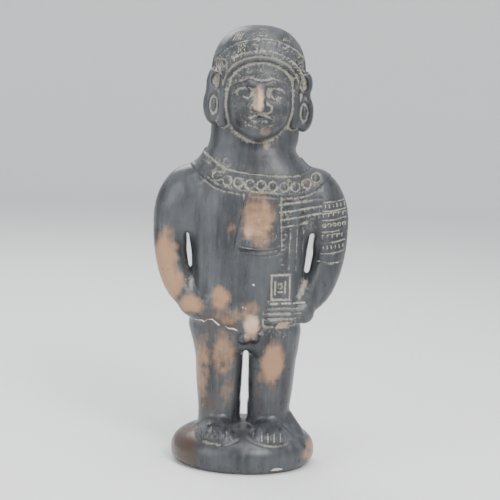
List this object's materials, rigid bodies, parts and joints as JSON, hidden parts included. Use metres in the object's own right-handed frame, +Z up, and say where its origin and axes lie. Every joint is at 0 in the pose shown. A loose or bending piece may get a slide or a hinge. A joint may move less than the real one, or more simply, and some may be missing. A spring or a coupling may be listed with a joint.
{
  "type": "whistle figurine",
  "caption": "Standing blackware whistle figurine, hands on hips, with headdress, beaded collar and pendant, modelled in one with a domed base.",
  "frame": {"origin": "centre of the flat underside of the base", "axes": "+Z up through the head; the figure faces -Y, and +X is to the right of someone looking at its front"},
  "size_m": [0.1473, 0.0955, 0.33],
  "materials": {
    "clay": null
  },
  "bodies": {
    "root": {"figurine": "clay"}
  },
  "joints": []
}
